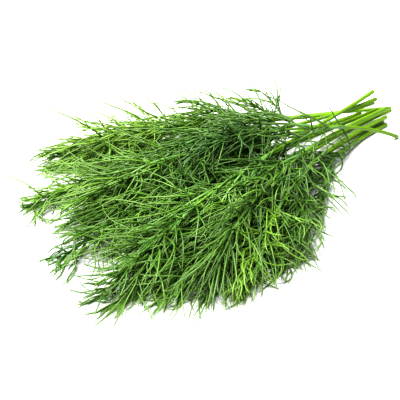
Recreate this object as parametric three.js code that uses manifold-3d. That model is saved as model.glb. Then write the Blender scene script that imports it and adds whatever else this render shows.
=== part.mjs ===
// A bunch of fresh dill lying on a table: fourteen cut leafy stems, loose in one heap.
// Millimetres, +Z up. +X points to the cut ends of the stems, the foliage fans out towards -X,
// and the origin is on the table, under the middle of the bunch's box.
//
// Each leafy stem is one solid: the stem, the ribs of the leaves that branch from it, and pairs of
// needle-like side ribs (pinnae) along each leaf. Every level grows out of the one before it, and a
// branch that would touch another one turns aside until it has room.

import * as THREE from "three";
import { mergeVertices } from "three/addons/utils/BufferGeometryUtils.js";
import Module from "manifold-3d";

const wasm = await Module();
wasm.setup();

// ---- Stems ----
const ORIGIN = [33.2, 0.5]; // x and y, in the numbers below, of the middle of the bunch's box
const STEM_RADIUS = 1.45; // at the cut end
const STEM_TIP_RADIUS = 0.9;
const STEM_SIDES = 6;
const STEM_STEPS = 9;

const BARE = 0.35; // share of a stem below its first leaf

// Heights of a stem halfway and at its end, by the layer of the heap that it lies in.
const LAYERS = {
  low: { crest: 9, tip: 6 },
  middle: { crest: 24, tip: 8 },
  top: { crest: 40, tip: 14 },
  raised: { crest: 30, tip: 36 },
};

// One row a stem. cut: centre of the cut end. neck: the place it heads for from there. heading:
// degrees from -X towards +Y. reach: length from the neck to the tip.
const STEMS = [
  { layer: "low", cut: [172, 4, 1.1], neck: [95, -7, 3.5], heading: -40, reach: 120 },
  { layer: "low", cut: [173, 9, 1.1], neck: [94, -2, 3.5], heading: -26, reach: 180 },
  { layer: "low", cut: [169, 18, 1.1], neck: [92, 5, 3.5], heading: -21, reach: 180 },
  { layer: "low", cut: [158, 26, 1.1], neck: [92, 19, 3.5], heading: -1, reach: 180 },
  { layer: "low", cut: [188, 17, 4.5], neck: [98, 56, 6], heading: 13, reach: 165 },
  { layer: "middle", cut: [173, 6, 6.5], neck: [92, -4, 9.5], heading: -36, reach: 155 },
  { layer: "middle", cut: [183, 12, 6.5], neck: [92, 1.5, 9.5], heading: -17, reach: 210 },
  { layer: "middle", cut: [174, 17.5, 7.5], neck: [92, 7.5, 9.5], heading: -7, reach: 190 },
  { layer: "middle", cut: [160, 20.5, 7], neck: [92, 14, 9], heading: 11, reach: 190 },
  { layer: "top", cut: [176, 9, 12], neck: [92, -1.5, 15], heading: -30, reach: 160 },
  { layer: "top", cut: [169, 19, 24], neck: [92, 4, 15], heading: -18, reach: 190 },
  { layer: "top", cut: [173, 21, 12], neck: [92, 17, 13], heading: 26, reach: 160 },
  { layer: "raised", cut: [167, -14, 1.1], neck: [119, -7, 30], heading: 10, reach: 100 },
  { layer: "top", cut: [170, 16, 18.5], neck: [92, 11, 16], heading: 4, reach: 175 },
];

// ---- Leaves, from the lowest on a stem to the highest ----
const LEAVES = 5;
const LAST_LEAF_AT = 0.77; // place along the stem
const LEAF_ANGLE = [18, 12]; // degrees from the stem
const LEAF_LENGTH = [80, 66];
const LEAF_DROOP = 0.5; // of its length, when level
const LEAF_TURN = 137.5; // degrees round the stem from one leaf to the next
const RIB_RADIUS = 0.95;
const RIB_TIP_RADIUS = 0.66;
const RIB_SIDES = 4;
const RIB_STEPS = 3;
const RIB_LOW = 0.4; // height of a rib's centre line where it lies on the table
const PETIOLE_SHARE = 0.18; // bare foot of a leaf's rib
const POINT = 14; // length of the pointed end of a rib or a stem
const PLUME_FROM = 0.68; // from here on the stem itself is feathered like a leaf
const PLUME_LENGTH = 72; // sets the length of its side ribs

// Small leaves besides those, with their turn round the stem: 0 is level, towards -Y on a stem that
// lies along X, and 90 is upright.
const EXTRAS = [
  { stem: 5, at: 0.31, turn: 90, angle: 62, length: 36 },
  { stem: 12, at: 0.5, turn: 90, angle: 32, length: 40 },
  { stem: 1, at: 0.17, turn: 30, angle: 10, length: 60 },
  { stem: 12, at: 0.36, turn: 90, angle: 34, length: 36 },
];

// ---- Needle-like side ribs of a leaf, from the lowest pair to the highest ----
const PLACES = 7; // places for a pair along a rib
const FILLED = [6, 4, 2, 1, 0]; // the places with a pair, in the order they are filled
const STAGGER = 1.5; // one of a pair stands this far up the rib, the other this far down
const PINNA_ANGLE = [36, 24];
const PINNA_SHARE = [0.46, 0.2]; // of the leaf's length
const PINNA_RADIUS = 0.45;
const PINNA_LOW = 0.2;

const GAP = 0.3; // kept between one leafy stem and another
const OWN_GAP = 0.1; // kept between branches of the same one
const RIB_TRIES = 60;
const PINNA_TRIES = 16;

const GREENS = { young: 0x78a638, middle: 0x54872e, mature: 0x3d692e };
const TINTS = ["mature", "middle", "young"]; // in turn, from the first stem to the last

const UP = new THREE.Vector3(0, 0, 1);
const radians = THREE.MathUtils.degToRad;
const lerp = ([from, to], share) => from + (to - from) * share;

// A repeatable draw between 0 and 1 for a list of small whole numbers.
function draw(...ids) {
  let h = 2166136261;
  for (const id of ids) {
    h = Math.imul(h ^ id, 16777619) >>> 0;
    h ^= h >>> 15;
    h = Math.imul(h, 2246822519) >>> 0;
    h ^= h >>> 13;
  }
  return (h >>> 0) / 4294967296;
}

const spread = (...ids) => 2 * draw(...ids) - 1;

// Two directions square to an axis: one level, one up.
function square(axis) {
  const side = new THREE.Vector3().crossVectors(UP, axis).normalize();
  return [side, new THREE.Vector3().crossVectors(axis, side)];
}

// The direction at an angle from a towards b.
const mix = (a, b, angle) =>
  a.clone().multiplyScalar(Math.cos(angle)).addScaledVector(b, Math.sin(angle)).normalize();

// The point at a share of a rod's centre line, which is straight between its rings.
function onRod(rings, share) {
  const at = share * (rings.length - 1);
  const n = Math.min(rings.length - 2, Math.floor(at));
  return rings[n].clone().lerp(rings[n + 1], at - n);
}

// ---- Where the branches run ----

function stemCurve({ layer, cut, neck, heading, reach }) {
  const { crest, tip } = LAYERS[layer];
  const a = radians(heading);
  const from = new THREE.Vector3(...neck);
  const along = new THREE.Vector3(-Math.cos(a), Math.sin(a), 0);
  const middle = from.clone().addScaledVector(along, reach / 2).setZ(crest);
  const end = from.clone().addScaledVector(along, reach).setZ(tip);
  return new THREE.CubicBezierCurve3(new THREE.Vector3(...cut), from, middle, end);
}

// How leaf k of stem i grows: its place on the stem, its turn round the stem, its angle from the
// stem, its length and its droop. Each step of the dial swings it round to a new place.
function leafHabit(i, k, dial) {
  const f = k / (LEAVES - 1);
  return {
    at: lerp([BARE, LAST_LEAF_AT], f) + 0.03 * spread(i, k, 1) + 0.012 * (dial % 3),
    turn: radians(LEAF_TURN) * (k + 0.37 * i) + 0.5 * spread(i, k, 2) + 0.45 * dial,
    angle: lerp(LEAF_ANGLE, f) + 8 * spread(i, k, 3) + 8 * spread(i, k, 4, dial),
    length: lerp(LEAF_LENGTH, f) * (1 + 0.12 * spread(i, k, 5) + 0.12 * spread(i, k, 8, dial)),
    droop: LEAF_DROOP * (0.6 + 0.8 * draw(i, k, 6, dial)),
  };
}

function extraHabit({ at, turn, angle, length }, dial) {
  return { at: at + 0.01 * dial, turn: radians(turn), angle, length, droop: 0 };
}

function ribCurve({ curve, rings }, { at, turn, angle, length, droop }) {
  const base = onRod(rings, at);
  const axis = curve.getTangent(at);
  const [side, up] = square(axis);
  const out = side.multiplyScalar(Math.cos(turn)).addScaledVector(up, Math.abs(Math.sin(turn)));
  const ahead = mix(axis, out, radians(angle));
  const middle = base.clone().addScaledVector(ahead, length * 0.5);
  const end = base.clone().addScaledVector(ahead, length * 0.8).addScaledVector(axis, length * 0.18);
  end.z -= length * droop * Math.hypot(ahead.x, ahead.y);
  middle.z = Math.max(middle.z, 1.5);
  end.z = Math.max(end.z, RIB_LOW);
  return new THREE.QuadraticBezierCurve3(base, middle, end);
}

// A side rib: it leaves the leaf's rib, swings forward to follow it, and sags a little.
function pinnaCurve({ curve, rings, i, k, start, foot, length }, place, hand, dial) {
  const ids = [i, k, place, hand];
  const f = place / (PLACES - 1);
  const u = foot + (0.95 - foot) * f ** 0.9 + (STAGGER / length) * (hand ? 1 : -1);
  const at = start + (1 - start) * u;
  const axis = curve.getTangent(at);
  const [level, up] = square(axis);
  const side = mix(level, up, 0.8 * spread(i, k, 7));
  const face = new THREE.Vector3().crossVectors(axis, side);
  const aside = 0.3 * Math.ceil(dial / 2) * (dial % 2 ? 1 : -1);
  const out = mix(side.multiplyScalar(hand ? 1 : -1), face, 0.2 + 0.6 * spread(...ids, 2) + aside);
  const angle = lerp(PINNA_ANGLE, f) + 9 * spread(...ids, 1) + 5 * spread(...ids, 4, dial);
  const ahead = mix(axis, out, radians(angle));
  const size = length * lerp(PINNA_SHARE, f) * (1 + 0.22 * spread(...ids, 3));
  const base = onRod(rings, at);
  const middle = base.clone().addScaledVector(ahead, size * 0.5);
  const end = base.clone().addScaledVector(ahead, size * 0.7).addScaledVector(axis, size * 0.34);
  end.z -= size * (0.08 + 0.14 * draw(...ids, 5));
  const sway = new THREE.Vector3(spread(...ids, 6), spread(...ids, 7), spread(...ids, 8));
  end.addScaledVector(sway, size * 0.22);
  middle.z = Math.max(middle.z, 0.5);
  end.z = Math.max(end.z, PINNA_LOW);
  return new THREE.QuadraticBezierCurve3(base, middle, end);
}

// Where a rod's pointed end stops, straight on from its last ring.
function pointOf(curve) {
  const tip = curve.getPoint(1).addScaledVector(curve.getTangent(1), POINT);
  return tip.setZ(Math.max(tip.z, PINNA_LOW));
}

// ---- Room between branches ----

const placed = []; // straight tapered pieces of every branch so far

// The straight pieces of a branch on stem i, from its foot radius to its tip radius.
function pieces(i, name, points, foot, tip) {
  const radius = (n) => foot + ((tip - foot) * n) / (points.length - 1);
  return points.slice(1).map((b, n) => {
    const a = points[n];
    const middle = a.clone().add(b).multiplyScalar(0.5);
    return { i, name, a, b, ra: radius(n), rb: radius(n + 1), middle, half: a.distanceTo(b) / 2 };
  });
}

function rodPieces(i, name, curve, rings, foot, tip) {
  const ending = [rings.at(-1), pointOf(curve)];
  return [...pieces(i, name, rings, foot, tip), ...pieces(i, name, ending, tip, 0)];
}

// Free space between two tapered pieces, where their centre lines are closest.
function room(p, q) {
  const far = p.middle.distanceTo(q.middle) - p.half - q.half - p.ra - q.ra;
  if (far > GAP) return far;
  const clamp = (x) => Math.min(1, Math.max(0, x));
  const d1 = p.b.clone().sub(p.a);
  const d2 = q.b.clone().sub(q.a);
  const r = p.a.clone().sub(q.a);
  const [a, b, c, e, f] = [d1.dot(d1), d1.dot(d2), d1.dot(r), d2.dot(d2), d2.dot(r)];
  const flat = a * e - b * b;
  let s = flat > 1e-9 ? clamp((b * f - c * e) / flat) : 0;
  const t = clamp((b * s + f) / e);
  s = clamp((b * t - c) / a);
  const apart = p.a.clone().addScaledVector(d1, s).distanceTo(q.a.clone().addScaledVector(d2, t));
  return apart - (p.ra + (p.rb - p.ra) * s) - (q.ra + (q.rb - q.ra) * t);
}

// Whether a branch keeps its gap from all the others but its kin on the same stem.
const isClear = (branch, kin) =>
  placed.every((q) => {
    const own = q.i === branch[0].i;
    if (own && kin.includes(q.name)) return true;
    return branch.every((p) => room(p, q) >= (own ? OWN_GAP : GAP));
  });

// Tries each step of the dial in turn, and keeps the first curve that has room, if there is one.
function settle(tries, kin, curveAt, branchOf) {
  for (let dial = 0; dial < tries; dial++) {
    const curve = curveAt(dial);
    const branch = branchOf(curve);
    if (!isClear(branch, kin)) continue;
    placed.push(...branch);
    return { curve, dial };
  }
  return null;
}

// ---- Solids ----

function solid(geometry) {
  geometry.deleteAttribute("normal");
  geometry.deleteAttribute("uv");
  const { index, attributes } = mergeVertices(geometry, 1e-5);
  const corners = [...index.array];
  const faces = [];
  for (let n = 0; n < corners.length; n += 3) {
    const [a, b, c] = corners.slice(n, n + 3);
    if (a !== b && b !== c && c !== a) faces.push(a, b, c);
  }
  const mesh = new wasm.Mesh({
    numProp: 3,
    vertProperties: new Float32Array(attributes.position.array),
    triVerts: new Uint32Array(faces),
  });
  return new wasm.Manifold(mesh);
}

// A turned rod of few sides bent along a curve, one flat side down, with a pointed end.
function rod(curve, rings, sides, foot, tip) {
  const steps = rings.length - 1;
  const rows = [new THREE.Vector2(0, 0)];
  for (let n = 0; n <= steps; n++) {
    rows.push(new THREE.Vector2(foot + ((tip - foot) * n) / steps, n / steps));
  }
  rows.push(new THREE.Vector2(0, 2));
  const geometry = new THREE.LatheGeometry(rows, sides, Math.PI / sides);
  const p = geometry.attributes.position;
  for (let n = 0; n < p.count; n++) {
    const share = Math.min(1, p.getY(n));
    const [side, up] = square(curve.getTangent(share));
    const at = p.getY(n) > 1.5 ? pointOf(curve) : curve.getPoint(share);
    at.addScaledVector(side, p.getX(n)).addScaledVector(up, -p.getZ(n));
    p.setXYZ(n, at.x, at.y, at.z);
  }
  return solid(geometry);
}

// A straight three-sided needle.
function needle(from, to, radius) {
  const along = to.clone().sub(from);
  const length = along.length();
  const geometry = new THREE.ConeGeometry(radius, length, 3, 1).translate(0, length / 2, 0);
  const upright = new THREE.Vector3(0, 1, 0);
  const turn = new THREE.Quaternion().setFromUnitVectors(upright, along.normalize());
  return solid(geometry.applyQuaternion(turn).translate(from.x, from.y, from.z));
}

// ---- The bunch, one level at a time ----

const limbs = STEMS.map(() => []); // the solids of each leafy stem

const stems = STEMS.map((row) => {
  const curve = stemCurve(row);
  return { curve, rings: curve.getPoints(STEM_STEPS) };
});
stems.forEach(({ curve, rings }, i) => {
  const branch = rodPieces(i, "stem", curve, rings, STEM_RADIUS, STEM_TIP_RADIUS);
  if (!isClear(branch, [])) throw new Error(`stem ${i + 1} touches an earlier one`);
  placed.push(...branch);
  limbs[i].push(rod(curve, rings, STEM_SIDES, STEM_RADIUS, STEM_TIP_RADIUS));
});

// Every feathered length: the ends of the stems first, then the leaves.
const leaves = stems.map(({ curve, rings }, i) => ({
  curve, rings, i, k: LEAVES, start: PLUME_FROM, foot: 0.05, length: PLUME_LENGTH, name: "stem",
}));

function growRib(i, k, habitAt) {
  const name = `rib ${k}`;
  const found = settle(RIB_TRIES, ["stem"],
    (dial) => ribCurve(stems[i], habitAt(dial)),
    (curve) => rodPieces(i, name, curve, curve.getPoints(RIB_STEPS), RIB_RADIUS, RIB_TIP_RADIUS));
  if (!found) return;
  const { curve, dial } = found;
  const rings = curve.getPoints(RIB_STEPS);
  const { length } = habitAt(dial);
  limbs[i].push(rod(curve, rings, RIB_SIDES, RIB_RADIUS, RIB_TIP_RADIUS));
  leaves.push({ curve, rings, i, k, start: 0, foot: PETIOLE_SHARE, length, name });
}

EXTRAS.forEach((extra, n) =>
  growRib(extra.stem - 1, LEAVES + 1 + n, (dial) => extraHabit(extra, dial)));
for (let k = LEAVES - 1; k >= 0; k--) {
  stems.forEach((_, i) => growRib(i, k, (dial) => leafHabit(i, k, dial)));
}

for (const place of FILLED) {
  for (const leaf of leaves) {
    for (const hand of [0, 1]) {
      const names = [0, 1].map((h) => `${leaf.name}, pinna ${place} ${h}`);
      const found = settle(PINNA_TRIES, [leaf.name, names[1 - hand]],
        (dial) => pinnaCurve(leaf, place, hand, dial),
        ({ v0, v2 }) => pieces(leaf.i, names[hand], [v0, v2], PINNA_RADIUS, 0));
      if (found) limbs[leaf.i].push(needle(found.curve.v0, found.curve.v2, PINNA_RADIUS));
    }
  }
}

const bunch = new THREE.Group();
bunch.name = "dill_bunch";
limbs.forEach((list, i) => {
  const whole = wasm.Manifold.union(list).trimByPlane([0, 0, 1], 0);
  const [body] = whole.decompose().sort((a, b) => b.volume() - a.volume());
  const { vertProperties, triVerts } = body.getMesh();
  const geometry = new THREE.BufferGeometry();
  geometry.setAttribute("position", new THREE.BufferAttribute(vertProperties, 3));
  geometry.setIndex(new THREE.BufferAttribute(triVerts, 1));
  geometry.translate(-ORIGIN[0], -ORIGIN[1], 0);
  const tint = TINTS[i % TINTS.length];
  const material = new THREE.MeshStandardMaterial({
    name: `${tint}_dill`, color: GREENS[tint], roughness: 0.6, flatShading: true,
  });
  const piece = new THREE.Mesh(geometry, material);
  piece.name = `leafy_stem_${String(i + 1).padStart(2, "0")}`;
  bunch.add(piece);
});

export default bunch;
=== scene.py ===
"""A bunch of fresh dill lying on a pale table: fourteen leafy stems, each one mesh.

Lengths in the tables below are millimetres, as in the part's source. Every branch grows out of the
one before it: stem, leaf rib, side rib, thread, fork. The meshes are made in metres.
"""

import math

import bpy
import numpy as np
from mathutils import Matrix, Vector
from mathutils.kdtree import KDTree


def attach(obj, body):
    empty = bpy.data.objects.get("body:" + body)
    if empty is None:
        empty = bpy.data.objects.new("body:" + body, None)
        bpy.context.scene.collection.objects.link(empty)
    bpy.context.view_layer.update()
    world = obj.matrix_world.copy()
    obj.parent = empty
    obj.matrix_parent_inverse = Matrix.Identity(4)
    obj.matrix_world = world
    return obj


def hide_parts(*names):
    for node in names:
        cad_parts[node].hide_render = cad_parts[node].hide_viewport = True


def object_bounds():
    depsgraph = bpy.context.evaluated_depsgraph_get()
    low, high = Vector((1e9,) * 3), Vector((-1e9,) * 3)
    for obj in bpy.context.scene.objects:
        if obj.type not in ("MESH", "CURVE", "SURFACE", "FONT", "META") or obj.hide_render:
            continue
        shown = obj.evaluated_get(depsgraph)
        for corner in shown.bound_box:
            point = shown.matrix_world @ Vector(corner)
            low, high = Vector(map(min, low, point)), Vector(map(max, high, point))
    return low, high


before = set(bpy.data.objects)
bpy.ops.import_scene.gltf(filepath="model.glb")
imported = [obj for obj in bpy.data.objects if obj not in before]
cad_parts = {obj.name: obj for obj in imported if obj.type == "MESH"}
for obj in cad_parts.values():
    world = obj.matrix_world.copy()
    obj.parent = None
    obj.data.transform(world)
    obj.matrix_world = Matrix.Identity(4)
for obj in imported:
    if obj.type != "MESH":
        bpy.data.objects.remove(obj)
cad_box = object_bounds()

MM = 0.001
ORIGIN = Vector((33.2, 0.5, 0))  # layout place of the part's origin
UP = Vector((0, 0, 1))
# A thread whose course passes the part's box by more than this is drawn shorter.
SPARE = Vector((1, 1, 1))
BOX_LOW = Vector(cad_box[0]) / MM + ORIGIN - SPARE
BOX_HIGH = Vector(cad_box[1]) / MM + ORIGIN + SPARE

# ---- Layout, as in the part's source ----
BARE = 0.35
LAYERS = {"low": (9, 6), "middle": (24, 8), "top": (40, 14), "raised": (30, 36)}
# layer, cut end, neck, heading, reach
STEMS = [
    ("low", (172, 4, 1.1), (95, -7, 3.5), -40, 120),
    ("low", (173, 9, 1.1), (94, -2, 3.5), -26, 180),
    ("low", (169, 18, 1.1), (92, 5, 3.5), -21, 180),
    ("low", (158, 26, 1.1), (92, 19, 3.5), -1, 180),
    ("low", (188, 17, 4.5), (98, 56, 6), 13, 165),
    ("middle", (173, 6, 6.5), (92, -4, 9.5), -36, 155),
    ("middle", (183, 12, 6.5), (92, 1.5, 9.5), -17, 210),
    ("middle", (174, 17.5, 7.5), (92, 7.5, 9.5), -7, 190),
    ("middle", (160, 20.5, 7), (92, 14, 9), 11, 190),
    ("top", (176, 9, 12), (92, -1.5, 15), -30, 160),
    ("top", (169, 19, 24), (92, 4, 15), -18, 190),
    ("top", (173, 21, 12), (92, 17, 13), 26, 160),
    ("raised", (167, -14, 1.1), (119, -7, 30), 10, 100),
    ("top", (170, 16, 18.5), (92, 11, 16), 4, 175),
]
# Small leaves besides those: stem number, place, turn round the stem, angle, length.
EXTRAS = [(5, 0.31, 90, 62, 36), (12, 0.5, 90, 32, 40), (1, 0.17, 30, 10, 60), (12, 0.36, 90, 34, 36)]

LEAVES = 5
STEM_STEPS = 9
RIB_TRIES = 60
POINT = 14  # length of a rib's pointed end in the part
MATCH = 0.01  # mm from a rib's point to the corner of the solid that it made
LAST_LEAF_AT = 0.77
LEAF_ANGLE = (18, 12)
LEAF_LENGTH = (80, 66)
LEAF_DROOP = 0.5
LEAF_TURN = 137.5
RIB_LOW = 0.4
PETIOLE_SHARE = 0.18
PLUME_FROM = 0.68
PLUME_LENGTH = 72

PLACES = 7
STAGGER = 1.5
PINNA_ANGLE = (36, 24)
PINNA_SHARE = (0.46, 0.2)
PINNA_LOW = 0.2  # height of a rib's pointed end where it lies on the table, in the part

# ---- Threads, which only the looks have ----
THREAD_EVERY = 30  # mm of side rib for each pair
BARE_UNDER = 15  # side ribs shorter than this have none
FULL_FROM = 22  # on side ribs shorter than this the threads are shorter too
THREADS_FROM, THREADS_OVER = 0.1, 0.75  # where they start on a side rib, and how much they take
THREAD_LENGTH = (31, 17)
THREAD_ANGLE = 40
TWIG_SWAY = 0.26  # share of a side rib's length
THREAD_SWAY = 0.36  # share of a thread's length, as are the lean and the sag
LEAN = 0.4
LEAN_TOWARDS = Vector((-0.2, 0.3, -0.15))
THREAD_SAG = 0.45
SHORTEST = 0.25  # share of a thread that is kept wherever it goes
TWIG_LOW = 0.4  # height of a side rib's or thread's centre line where it lies on the table
FORK_CHANCE = 0.85
FORK_AT = 0.32
FORK_TURN = 0.5
FORK_SHARE = 0.6
FORK_OVER = 14  # only threads longer than this fork
TUFT_COUNT = 3  # threads at the tip of a leaf
TUFT_LENGTH = 10

# How fresh the green is, 0 to 1: its middle, and how far it strays by leaf and by branch; the patches
# below add painted light and shade.
TINT, TINT_BY_LEAF, TINT_BY_BRANCH = 0.45, 0.5, 0.14
STEM_TINT = 0.5  # every mesh corner carries a tint, though the stalk's colour doesn't follow it

# Paler (more than 0) or deeper green places: partly the leaves' own colour, partly painted light and
# shade, with a paler patch where the bunch is lit and the deepest in its shaded centre: x, y, radius,
# amount.
TINT_AND_PAINTED_LIGHT_PATCHES = [
    (-49, 10, 38, 0.25), (-66, 48, 34, 0.12), (10, 8, 42, -0.6), (26, -48, 26, -0.05),
    (-70, -48, 22, -0.28), (60, -36, 26, -0.2), (0, 76, 32, 0.5), (-100, -45, 26, 0.1),
]

# Radius at foot and tip of each level, mm.
STEM, RIB, PINNA, THREAD, FORK = range(5)
RADII = {STEM: (1.5, 0.55), RIB: (0.92, 0.42), PINNA: (0.5, 0.3), THREAD: (0.58, 0.38),
         FORK: (0.46, 0.32)}
SIDES = {STEM: 24, RIB: 8, PINNA: 6, THREAD: 6, FORK: 5}
STEPS = {STEM: 44, RIB: 14, PINNA: 7, THREAD: 6, FORK: 5}
# Share of a branch that its rounded end takes, and the least share of its cross-section there.
ENDS = {STEM: (0.02, 0.35), RIB: (0.08, 0.3), PINNA: (0.22, 0.02), THREAD: (0.22, 0.02),
        FORK: (0.22, 0.02)}
THINNEST, STOUTER = 0.82, 0.4  # of a twig's radius: the least, and what a draw adds at most
CLASP, CLASP_FADE = 0.6, 9  # how much stouter a leaf's rib is at its foot, and how soon it ends
KNOT, KNOT_WIDTH = 0.22, 0.014  # how much stouter a stem is round a leaf, and on what share of it
GROOVES, GROOVE_DEPTH = 8, 0.03  # along a stem
PITH_DEPTH = (0.16, 0.02, 0.0)  # mm in from the cut end, from the pith out to the rim
PITH_RADIUS = (0.5, 0.68, 0.93)  # share of the stem's radius
RIM = 0.12  # mm along the stem over which the rim's edge is rounded

# Pixels of the texture for one branch of each level, round it and along it.
TEXTURE = 1024
CELLS = {STEM: (96, 512), RIB: (20, 220), PINNA: (12, 96), THREAD: (10, 60), FORK: (8, 40)}

SLOTS = ("dill_mature", "dill_middle", "dill_young")  # in turn, from the first stem to the last

FLOOR_HALF = 40.0  # m: wide enough for views from 15 degrees up


def lerp(pair, share):
    return pair[0] + (pair[1] - pair[0]) * share


def draw(*ids):
    """A repeatable draw between 0 and 1 for a list of small whole numbers."""
    h = 2166136261
    for n in ids:
        h = ((h ^ n) * 16777619) & 0xFFFFFFFF
        h ^= h >> 15
        h = (h * 2246822519) & 0xFFFFFFFF
        h ^= h >> 13
    return h / 4294967296


def spread(*ids):
    return 2 * draw(*ids) - 1


def square(axis):
    """Two directions square to an axis: one level, one up."""
    side = UP.cross(axis)
    side.normalize()
    return side, axis.cross(side)


def mix(a, b, angle):
    return (a * math.cos(angle) + b * math.sin(angle)).normalized()


class Curve:
    """A Bezier curve of three or four control points."""

    def __init__(self, *points):
        self.cubic = points
        if len(points) == 3:
            a, b, c = points
            self.cubic = (a, a + (b - a) * (2 / 3), c + (b - c) * (2 / 3), c)

    def at(self, t):
        a, b, c, d = self.cubic
        s = 1 - t
        return a * s**3 + b * (3 * s * s * t) + c * (3 * s * t * t) + d * t**3

    def along(self, t):
        a, b, c, d = self.cubic
        s = 1 - t
        return ((b - a) * (s * s) + (c - b) * (2 * s * t) + (d - c) * (t * t)).normalized()


# ---- Where the branches run ----


def stem_curve(i):
    layer, cut, neck, heading, reach = STEMS[i]
    crest, tip = LAYERS[layer]
    a = math.radians(heading)
    start = Vector(neck)
    along = Vector((-math.cos(a), math.sin(a), 0))
    middle = start + along * (reach / 2)
    middle.z = crest
    end = start + along * reach
    end.z = tip
    return Curve(Vector(cut), start, middle, end)


def leaf_habit(i, k, dial):
    """Place on the stem, turn round it, angle from it, length and droop of leaf k of stem i."""
    if k > LEAVES:
        _, at, turn, angle, length = EXTRAS[k - LEAVES - 1]
        return at + 0.01 * dial, math.radians(turn), angle, length, 0
    f = k / (LEAVES - 1)
    return (
        lerp((BARE, LAST_LEAF_AT), f) + 0.03 * spread(i, k, 1) + 0.012 * (dial % 3),
        math.radians(LEAF_TURN) * (k + 0.37 * i) + 0.5 * spread(i, k, 2) + 0.45 * dial,
        lerp(LEAF_ANGLE, f) + 8 * spread(i, k, 3) + 8 * spread(i, k, 4, dial),
        lerp(LEAF_LENGTH, f) * (1 + 0.12 * spread(i, k, 5) + 0.12 * spread(i, k, 8, dial)),
        LEAF_DROOP * (0.6 + 0.8 * draw(i, k, 6, dial)),
    )


def on_rod(stem, share):
    """A place on the part's stem, which is straight between its rings."""
    n = min(STEM_STEPS - 1, int(share * STEM_STEPS))
    a, b = stem.at(n / STEM_STEPS), stem.at((n + 1) / STEM_STEPS)
    return a.lerp(b, share * STEM_STEPS - n)


def rib_curve(stem, at, turn, angle, length, droop):
    base = on_rod(stem, at)
    axis = stem.along(at)
    side, up = square(axis)
    out = side * math.cos(turn) + up * abs(math.sin(turn))
    ahead = mix(axis, out, math.radians(angle))
    middle = base + ahead * (length * 0.5)
    end = base + ahead * (length * 0.8) + axis * (length * 0.18)
    end.z -= length * droop * math.hypot(ahead.x, ahead.y)
    middle.z = max(middle.z, 1.5)
    end.z = max(end.z, RIB_LOW)
    return Curve(base, middle, end)


def twig_curve(base, ahead, axis, size, ids):
    """A side rib: it swings forward to follow its parent, sags a little and sways."""
    middle = base + ahead * (size * 0.5)
    end = base + ahead * (size * 0.7) + axis * (size * 0.34)
    end.z -= size * (0.08 + 0.14 * draw(*ids, 5))
    end += Vector((spread(*ids, 6), spread(*ids, 7), spread(*ids, 8))) * (size * TWIG_SWAY)
    middle.z = max(middle.z, 0.5)
    end.z = max(end.z, TWIG_LOW)
    return Curve(base, middle, end)


def keep_in(base, *points):
    """Draws a thread shorter where it would leave the part's box, and lifts it off the table."""
    share = 1.0
    for point in points:
        for n in range(3):
            if point[n] > BOX_HIGH[n]:
                share = min(share, max(SHORTEST, (BOX_HIGH[n] - base[n]) / (point[n] - base[n])))
            if n < 2 and point[n] < BOX_LOW[n]:
                share = min(share, max(SHORTEST, (base[n] - BOX_LOW[n]) / (base[n] - point[n])))
    points = [base.lerp(point, share) for point in points]
    for point in points:
        point.z = max(point.z, TWIG_LOW)
    return points


def stray(ids, first, size):
    return Vector([spread(*ids, first + n) for n in range(3)]) * size


def thread_curve(base, ahead, axis, size, ids):
    """A soft thread: it wanders, turns forward, sags, and leans the way its whole leaf leans."""
    i, k = ids[:2]
    lean = Vector((spread(i, k, 61), spread(i, k, 62), 0.5 * spread(i, k, 63))) + LEAN_TOWARDS
    lean *= size * LEAN
    near = base + ahead * (size * 0.36) + stray(ids, 50, size * THREAD_SWAY * 0.3)
    far = base + ahead * (size * 0.64) + axis * (size * 0.08)
    far += stray(ids, 53, size * THREAD_SWAY * 0.7) + lean * 0.45
    end = base + ahead * (size * 0.74) + axis * (size * 0.3)
    end += stray(ids, 56, size * THREAD_SWAY) + lean
    sag = size * (THREAD_SAG * draw(*ids, 5))
    far.z -= sag * 0.4
    end.z -= sag
    return Curve(base, *keep_in(base, near, far, end))


# ---- Where the part's own leaves are ----


def node_name(i):
    return f"leafy_stem_{i + 1:02d}"


def corners_of(i):
    """The corners of a leafy stem's solid, in the numbers of the layout."""
    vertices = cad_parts[node_name(i)].data.vertices
    corners = KDTree(len(vertices))
    for n, vertex in enumerate(vertices):
        corners.insert(vertex.co / MM + ORIGIN, n)
    corners.balance()
    return corners


def found_habit(corners, stem, i, k):
    """The habit with which the part grew leaf k: its rib ends in a corner of the solid."""

    def miss(habit):
        curve = rib_curve(stem, *habit)
        point = curve.at(1) + curve.along(1) * POINT
        point.z = max(point.z, PINNA_LOW)
        return corners.find(point)[2]

    best = min((leaf_habit(i, k, dial) for dial in range(RIB_TRIES)), key=miss)
    return best if miss(best) < MATCH else None


# ---- Growing one leafy stem ----


def tint_with_painted_light(place, leaf_tint, *ids):
    """How fresh the green of a branch is: by leaf, a little by branch, and by where it lies, which
    adds painted light and shade to the leaves' own colour.
    """
    tint = leaf_tint + TINT_BY_BRANCH * spread(*ids)
    for x, y, radius, amount in TINT_AND_PAINTED_LIGHT_PATCHES:
        tint += amount * math.exp(-((place.x - x) ** 2 + (place.y - y) ** 2) / radius**2)
    return min(1.0, max(0.0, tint))


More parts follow.
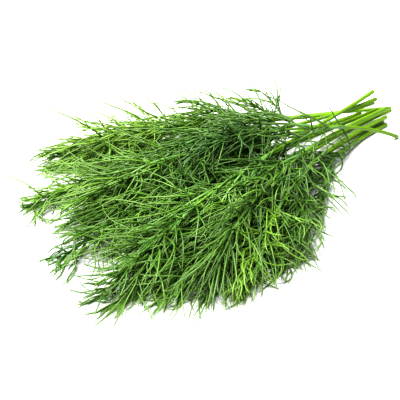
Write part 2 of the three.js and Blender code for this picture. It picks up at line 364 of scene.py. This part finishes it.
def grow_stem(i):
    """Every branch of stem i as (level, curve, tint), and the places of the leaves on it."""
    branches = []
    stem = stem_curve(i)
    branches.append((STEM, stem, STEM_TINT))
    leaves = [(stem, LEAVES, PLUME_FROM, 0.05, PLUME_LENGTH)]
    joints = []
    corners = corners_of(i)
    extras = [LEAVES + 1 + n for n, row in enumerate(EXTRAS) if row[0] == i + 1]
    for k in [*range(LEAVES), *extras]:
        habit = found_habit(corners, stem, i, k)
        if habit:
            leaves.append((rib_curve(stem, *habit), k, 0, PETIOLE_SHARE, habit[3]))
            joints.append(habit[0])
    for curve, k, start, foot, length in leaves:
        leaf_tint = TINT + TINT_BY_LEAF * spread(i, k, 40)
        if k != LEAVES:
            branches.append((RIB, curve, tint_with_painted_light(curve.at(0.5), leaf_tint, i, k, 41)))
        grow_leaf(branches, curve, i, k, start, foot, length, leaf_tint)
    return branches, joints


def grow_leaf(branches, curve, i, k, start, foot, length, leaf_tint):
    """Side ribs in pairs along a leaf's rib, with their threads, and a tuft of threads at its tip."""
    for place in range(PLACES):
        f = place / (PLACES - 1)
        for hand in (0, 1):
            ids = (i, k, place, hand)
            u = foot + (0.95 - foot) * f**0.9 + (STAGGER / length) * (1 if hand else -1)
            at = start + (1 - start) * u
            axis = curve.along(at)
            level, up = square(axis)
            side = mix(level, up, 0.8 * spread(i, k, 7))
            face = axis.cross(side)
            out = mix(side * (1 if hand else -1), face, 0.2 + 0.6 * spread(*ids, 2))
            angle = lerp(PINNA_ANGLE, f) + 9 * spread(*ids, 1) + 5 * spread(*ids, 4, 0)
            ahead = mix(axis, out, math.radians(angle))
            size = length * lerp(PINNA_SHARE, f) * (1 + 0.22 * spread(*ids, 3))
            pinna = twig_curve(curve.at(at), ahead, axis, size, ids)
            branches.append((PINNA, pinna, tint_with_painted_light(pinna.at(0.5), leaf_tint, *ids, 41)))
            grow_threads(branches, pinna, size, ids, leaf_tint)
    base, axis = curve.at(1), curve.along(1)
    level = square(axis)[0]
    for n in range(TUFT_COUNT):
        ids = (i, k, 90 + n, 0)
        ahead = mix(axis, level, 0.3 * (n - 1) + 0.12 * spread(*ids, 9))
        size = TUFT_LENGTH * (1 + 0.2 * spread(*ids, 3))
        thread = thread_curve(base, ahead, axis, size, ids)
        branches.append((THREAD, thread, tint_with_painted_light(base, leaf_tint, *ids, 41)))


def grow_threads(branches, pinna, size, ids, leaf_tint):
    """Threads in pairs along a side rib, most of the longer ones with a fork."""
    if size < BARE_UNDER:
        return
    count = max(1, round(size / THREAD_EVERY))
    for m in range(count):
        at = THREADS_FROM + THREADS_OVER * m / count
        base, axis = pinna.at(at), pinna.along(at)
        level, up = square(axis)
        side = mix(level, up, 1.3 * spread(*ids, m, 21))
        face = axis.cross(side)
        for hand in (0, 1):
            own = (*ids, m, hand)
            angle = math.radians(THREAD_ANGLE + 11 * spread(*own, 22))
            out = mix(side * (1 if hand else -1), face, 0.6 * spread(*own, 23))
            length = lerp(THREAD_LENGTH, m / count) * min(1, size / FULL_FROM)
            length *= 1 + 0.28 * spread(*own, 24)
            thread = thread_curve(base, mix(axis, out, angle), axis, length, own)
            branches.append((THREAD, thread, tint_with_painted_light(thread.at(0.5), leaf_tint, *own, 42)))
            if length > FORK_OVER and draw(*own, 30) < FORK_CHANCE:
                foot, axis_2 = thread.at(FORK_AT), thread.along(FORK_AT)
                level_2, up_2 = square(axis_2)
                swing = mix(level_2, up_2, 6.28 * draw(*own, 31))  # any way round the thread
                ahead = mix(axis_2, swing, FORK_TURN)
                fork = thread_curve(foot, ahead, axis_2, length * FORK_SHARE, (*own, 7))
                branches.append((FORK, fork, tint_with_painted_light(foot, leaf_tint, *own, 43)))


# ---- Meshes ----


def tube_rows(level, curves, seeds, joints):
    """Ring centres, directions, radii and shares along the branch, for all branches of one level."""
    share = np.linspace(0, 1, STEPS[level] + 1)
    if level >= PINNA:
        share = share**0.85
    points = np.array([[list(p) for p in c.cubic] for c in curves])
    t = share[None, :, None]
    s = 1 - t
    a, b, c, d = (points[:, n, None, :] for n in range(4))
    centre = a * s**3 + b * 3 * s * s * t + c * 3 * s * t * t + d * t**3
    slope = (b - a) * s * s + (c - b) * 2 * s * t + (d - c) * t * t
    slope /= np.linalg.norm(slope, axis=2, keepdims=True)
    foot, tip = RADII[level]
    radius = np.repeat((foot + (tip - foot) * share)[None], len(curves), 0)
    if level == RIB:
        radius *= (1 + CLASP * np.exp(-((share * CLASP_FADE) ** 2)))[None]
    end, least = ENDS[level]
    radius *= np.sqrt(np.clip((1.0 - share) / end, least, 1))[None]
    if level >= PINNA:
        radius *= (THINNEST + STOUTER * seeds)[:, None]
    if level == STEM:
        for at in joints:
            radius *= 1 + KNOT * np.exp(-(((share - at) / KNOT_WIDTH) ** 2))[None]
        inward = np.array(PITH_DEPTH)[None, :, None] * slope[:, :1]
        centre = np.concatenate([centre[:, :1] + inward, centre], 1)
        slope = np.concatenate([slope[:, :1].repeat(3, 1), slope], 1)
        radius = np.concatenate([radius[:, :1] * np.array([PITH_RADIUS]), radius], 1)
        centre[:, 3:4] += slope[:, :1] * RIM
        share = np.concatenate([[-1, -0.5, 0], share])
    return centre, slope, radius, share


def bake_cells(own_counts):
    """A cell of the texture for every branch: left, bottom, width and height, none overlapping."""
    shelves, height = {}, 0
    for level, count in own_counts.items():
        wide, tall = CELLS[level]
        across = TEXTURE // (wide + 2)
        shelves[level] = (height, across, wide, tall)
        height += math.ceil(count / across) * (tall + 4)
    squeeze = min(1.0, TEXTURE / height)
    cells = {}
    for level, (bottom, across, wide, tall) in shelves.items():
        n = np.arange(own_counts[level])
        left = (n % across) * (wide + 2) + 1
        low = (bottom + (n // across) * (tall + 4) + 2) * squeeze
        cells[level] = (left / TEXTURE, low / TEXTURE, wide / TEXTURE, tall * squeeze / TEXTURE)
    return cells


def ring_corners(level, centre, slope, radius):
    """The corners of every ring of every branch of one level."""
    side_dir = np.cross([0, 0, 1.0], slope)
    side_dir /= np.linalg.norm(side_dir, axis=2, keepdims=True)
    up_dir = np.cross(slope, side_dir)
    turn = np.arange(SIDES[level]) / SIDES[level] * 2 * math.pi
    bulge = 1 + GROOVE_DEPTH * np.cos(turn * GROOVES) if level == STEM else np.ones(len(turn))
    ring = (
        side_dir[:, :, None] * (np.cos(turn) * bulge)[None, None, :, None]
        + up_dir[:, :, None] * (np.sin(turn) * bulge)[None, None, :, None]
    )
    return centre[:, :, None] + ring * radius[:, :, None, None]


def tube_faces(offset, count, rings, sides):
    """Quads along every tube, and at its ends a fan of triangles round a corner in the middle."""
    base = offset + np.arange(count)[:, None, None] * rings * sides
    r = np.arange(rings - 1)[None, :, None] * sides
    j = np.arange(sides)[None, None, :]
    k = (j + 1) % sides
    quads = np.stack([base + r + j, base + r + k, base + r + sides + k, base + r + sides + j], -1)
    middles = offset + count * rings * sides + np.arange(count * 2).reshape(count, 2)
    first, last = base[:, 0], base[:, 0] + (rings - 1) * sides
    j, k = j[0], k[0]
    foot = np.stack([first + k, first + j, np.broadcast_to(middles[:, :1], (count, sides))], -1)
    tip = np.stack([last + j, last + k, np.broadcast_to(middles[:, 1:], (count, sides))], -1)
    return quads.reshape(-1, 4), np.concatenate([foot.reshape(-1, 3), tip.reshape(-1, 3)])


def tube_texture(cell, count, rings, sides):
    """Texture places of those faces: u round the branch, v along it, and a strip for each end."""
    left, low, wide, tall = cell
    cap = 1.5 / TEXTURE
    v = low[:, None] + cap + (tall - 2 * cap) * np.linspace(0, 1, rings)[None]
    u = left[:, None] + wide * np.arange(sides + 1)[None] / sides
    shape = (count, rings - 1, sides)
    u0, u1 = (np.broadcast_to(x[:, None], shape) for x in (u[:, :-1], u[:, 1:]))
    v0, v1 = (np.broadcast_to(x[:, :, None], shape) for x in (v[:, :-1], v[:, 1:]))
    quad_uv = np.stack([u0, v0, u1, v0, u1, v1, u0, v1], -1).reshape(-1, 2)
    half = (u[:, :-1] + u[:, 1:]) / 2
    tri_uv = []
    for a_u, b_u, edge, point in (
        (u[:, 1:], u[:, :-1], v[:, :1], v[:, :1] - cap),
        (u[:, :-1], u[:, 1:], v[:, -1:], v[:, -1:] + cap),
    ):
        edge, point = (np.broadcast_to(x, half.shape) for x in (edge, point))
        tri_uv.append(np.stack([a_u, edge, b_u, edge, half, point], -1).reshape(-1, 2))
    return quad_uv, np.concatenate(tri_uv)


def corner_facts(level, share, tints, sides):
    """Level, share along the branch and tint of each corner: the rings' first, then the ends'."""
    count, rings = len(tints), len(share)
    shares = np.broadcast_to(share[None, :, None], (count, rings, sides)).reshape(-1)
    tint = np.broadcast_to(tints[:, None, None], (count, rings, sides)).reshape(-1)
    on_rings = np.stack([np.full(len(shares), level), shares, tint], 1)
    end_shares = np.tile([share[0], 1.0], count)
    at_ends = np.stack([np.full(count * 2, level), end_shares, np.repeat(tints, 2)], 1)
    return np.concatenate([on_rings, at_ends])


def new_mesh(name, verts, quads, tris, uv, facts):
    mesh = bpy.data.meshes.new(name)
    mesh.vertices.add(len(verts))
    mesh.vertices.foreach_set("co", verts.astype(np.float32).ravel())
    loops = np.concatenate([quads.ravel(), tris.ravel()]).astype(np.int32)
    mesh.loops.add(len(loops))
    mesh.loops.foreach_set("vertex_index", loops)
    sizes = np.concatenate([np.full(len(quads), 4), np.full(len(tris), 3)])
    starts = np.concatenate([[0], np.cumsum(sizes)[:-1]]).astype(np.int32)
    mesh.polygons.add(len(sizes))
    mesh.polygons.foreach_set("loop_start", starts)
    mesh.polygons.foreach_set("use_smooth", np.ones(len(sizes), bool))
    mesh.update(calc_edges=True)
    layer = mesh.uv_layers.new(name="OFBake")
    layer.data.foreach_set("uv", uv.astype(np.float32).ravel())
    for column, label in enumerate(("level", "along", "tint")):
        layer = mesh.attributes.new(label, "FLOAT", "POINT")
        layer.data.foreach_set("value", facts[:, column].astype(np.float32))
    return mesh


def leafy_mesh(name, branches, joints):
    """One mesh for a whole leafy stem: a tube for each branch, level by level."""
    verts, quads, tris, facts, quad_uv, tri_uv = [], [], [], [], [], []
    levels = [n for n in RADII if any(b[0] == n for b in branches)]
    cells = bake_cells({n: sum(b[0] == n for b in branches) for n in levels})
    offset = 0
    for level in levels:
        own = [b for b in branches if b[0] == level]
        seeds = np.array([draw(n, level, 77) for n in range(len(own))])
        centre, slope, radius, share = tube_rows(level, [b[1] for b in own], seeds, joints)
        size = (len(own), len(share), SIDES[level])
        ends = np.stack([centre[:, 0], centre[:, -1] + slope[:, -1] * radius[:, -1, None]], 1)
        verts += [ring_corners(level, centre, slope, radius).reshape(-1, 3), ends.reshape(-1, 3)]
        for lists, made in (
            ((quads, tris), tube_faces(offset, *size)),
            ((quad_uv, tri_uv), tube_texture(cells[level], *size)),
        ):
            lists[0].append(made[0])
            lists[1].append(made[1])
        facts.append(corner_facts(level, share, np.array([b[2] for b in own]), SIDES[level]))
        offset += math.prod(size) + len(own) * 2
    verts = np.concatenate(verts)
    verts[:, 2] = np.maximum(verts[:, 2], 0)
    verts = (verts - np.array(ORIGIN)) * MM
    return new_mesh(name, verts, np.concatenate(quads), np.concatenate(tris),
                    np.concatenate(quad_uv + tri_uv), np.concatenate(facts))


# ---- Materials ----


class Nodes:
    """A small helper for writing node trees."""

    def __init__(self, tree):
        self.tree = tree

    def add(self, kind, **settings):
        node = self.tree.nodes.new(kind)
        inputs = settings.pop("inputs", {})
        for key, value in settings.items():
            setattr(node, key, value)
        for key, value in inputs.items():
            socket = node.inputs[key]
            if isinstance(value, bpy.types.NodeSocket):
                self.tree.links.new(value, socket)
            else:
                socket.default_value = value
        return node

    def attribute(self, name):
        return self.add("ShaderNodeAttribute", attribute_name=name).outputs["Fac"]

    def mix(self, share, a, b):
        node = self.add("ShaderNodeMix", data_type="RGBA")
        for key, value in ((0, share), (6, a), (7, b)):
            if isinstance(value, bpy.types.NodeSocket):
                self.tree.links.new(value, node.inputs[key])
            else:
                node.inputs[key].default_value = value
        return node.outputs[2]

    def span(self, value, low, high, to_low=0.0, to_high=1.0):
        return self.add("ShaderNodeMapRange", inputs={
            "Value": value, "From Min": low, "From Max": high, "To Min": to_low,
            "To Max": to_high}).outputs[0]

    def noise(self, place, scale, detail=2.0):
        return self.add("ShaderNodeTexNoise", inputs={
            "Vector": place, "Scale": scale, "Detail": detail}).outputs["Fac"]


def green(r, g, b):
    return (r, g, b, 1)


PITH = green(0.42, 0.5, 0.2)


def dill_material(name, deep, fresh, tip, stem, bloom):
    """Deep to fresh green by each branch's tint, which carries painted light and shade as well as
    each leaf's own colour, with paler tips, specks and waxy ribs.
    """
    material = bpy.data.materials.new(name)
    material.use_nodes = True
    tree = material.node_tree
    tree.nodes.clear()
    n = Nodes(tree)
    place = n.add("ShaderNodeTexCoord").outputs["Object"]
    level, along, tint = (n.attribute(a) for a in ("level", "along", "tint"))
    patches = n.span(n.noise(place, 38), 0.38, 0.62)
    specks = n.span(n.noise(place, 900, 3), 0.3, 0.7)
    # The tint mixes each leaf's own green with painted light and shade: paler where the bunch is lit,
    # deeper in its shaded centre.
    leaf = n.mix(tint, deep, fresh)
    leaf = n.mix(n.span(patches, 0, 1, 0, 0.3), leaf, fresh)
    leaf = n.mix(n.span(along, 0.3, 1, 0, 0.4), leaf, tip)
    leaf = n.mix(n.span(specks, 0, 1, 0, 0.25), leaf, tip)
    ribs = n.mix(n.span(specks, 0, 1, 0.35, 0.75), leaf, bloom)
    leaf = n.mix(n.span(level, 1.0, 2.6, 1, 0), leaf, ribs)
    stalk = n.mix(n.span(specks, 0, 1, 0.1, 0.5), stem, bloom)
    stalk = n.mix(n.span(along, 0.35, 0.75), stem, stalk)
    stalk = n.mix(n.span(n.noise(place, 130, 3), 0.35, 0.7, 0, 0.35), stalk, fresh)
    stalk = n.mix(n.span(along, -0.4, -0.1, 1, 0), stalk, PITH)
    colour = n.mix(n.span(level, 0.2, 0.8, 1, 0), leaf, stalk)
    shader = n.add("ShaderNodeBsdfPrincipled", inputs={
        "Base Color": colour,
        "Roughness": n.span(specks, 0, 1, 0.38, 0.52),
        "Specular IOR Level": 0.55,
        "Subsurface Weight": 0.2,
        "Subsurface Radius": (0.6, 1.0, 0.2),
        "Subsurface Scale": 0.0008,
    })
    out = n.add("ShaderNodeOutputMaterial")
    tree.links.new(shader.outputs[0], out.inputs[0])
    return material


MATERIALS = {
    "dill_mature": dill_material(
        "dill_mature", green(0.008, 0.061, 0.0004), green(0.082, 0.18, 0.013),
        green(0.18, 0.28, 0.086), green(0.13, 0.26, 0.003), green(0.14, 0.28, 0.082)),
    "dill_middle": dill_material(
        "dill_middle", green(0.013, 0.09, 0.0006), green(0.11, 0.23, 0.016),
        green(0.22, 0.34, 0.1), green(0.14, 0.28, 0.003), green(0.16, 0.32, 0.088)),
    "dill_young": dill_material(
        "dill_young", green(0.022, 0.13, 0.0006), green(0.16, 0.3, 0.02),
        green(0.27, 0.39, 0.11), green(0.16, 0.31, 0.004), green(0.2, 0.35, 0.095)),
}


# ---- The bunch ----
for i in range(len(STEMS)):
    slot = SLOTS[i % len(SLOTS)]
    mesh = leafy_mesh(f"dill_{i + 1:02d}", *grow_stem(i))
    mesh.materials.append(MATERIALS[slot])
    piece = bpy.data.objects.new(f"dill_{i + 1:02d}", mesh)
    bpy.context.scene.collection.objects.link(piece)
    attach(piece, "root")
    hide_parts(node_name(i))

# ---- Table, light and camera ----
floor_mesh = bpy.data.meshes.new("table")
corners = [(-1, -1), (1, -1), (1, 1), (-1, 1)]
floor_mesh.from_pydata([(x * FLOOR_HALF, y * FLOOR_HALF, 0) for x, y in corners], [], [(0, 1, 2, 3)])
floor = bpy.data.objects.new("table", floor_mesh)
floor.location.z = -0.2 * MM  # just clear of the lowest leaves
bpy.context.scene.collection.objects.link(floor)
floor_material = bpy.data.materials.new("table_white")
floor_material.use_nodes = True
shader = floor_material.node_tree.nodes["Principled BSDF"]
shader.inputs["Base Color"].default_value = (0.7, 0.7, 0.7, 1)
shader.inputs["Roughness"].default_value = 0.7
floor_mesh.materials.append(floor_material)

world = bpy.data.worlds.new("studio")
bpy.context.scene.world = world
world.use_nodes = True
world.node_tree.nodes["Background"].inputs["Color"].default_value = (1, 1, 1, 1)
world.node_tree.nodes["Background"].inputs["Strength"].default_value = 0.025


def soft_sun(name, toward, strength, width):
    """Even light from one direction, as from a large studio panel that many degrees wide."""
    light = bpy.data.lights.new(name, "SUN")
    light.energy = strength
    light.angle = math.radians(width)
    holder = bpy.data.objects.new(name, light)
    holder.rotation_euler = Vector(toward).to_track_quat("Z", "Y").to_euler()
    bpy.context.scene.collection.objects.link(holder)


soft_sun("key", toward=(-0.33, 0.3, 1.05), strength=8.8, width=57)
soft_sun("fill", toward=(0.2, -0.9, 0.8), strength=0.6, width=60)

AZIMUTH, ELEVATION, DISTANCE = -33, 35, 0.642
TARGET = -ORIGIN * MM
a, e = math.radians(AZIMUTH), math.radians(ELEVATION)
back = Vector((math.sin(a) * math.cos(e), -math.cos(a) * math.cos(e), math.sin(e)))
camera_data = bpy.data.cameras.new("camera")
camera_data.lens = 85
camera_data.shift_y = -0.003
camera_data.clip_start = 0.01
camera = bpy.data.objects.new("camera", camera_data)
camera.location = TARGET + back * DISTANCE
camera.rotation_euler = (-back).to_track_quat("-Z", "Y").to_euler()
bpy.context.scene.collection.objects.link(camera)
bpy.context.scene.camera = camera
bpy.context.scene.view_settings.view_transform = "Standard"
bpy.context.scene.view_settings.look = "High Contrast"
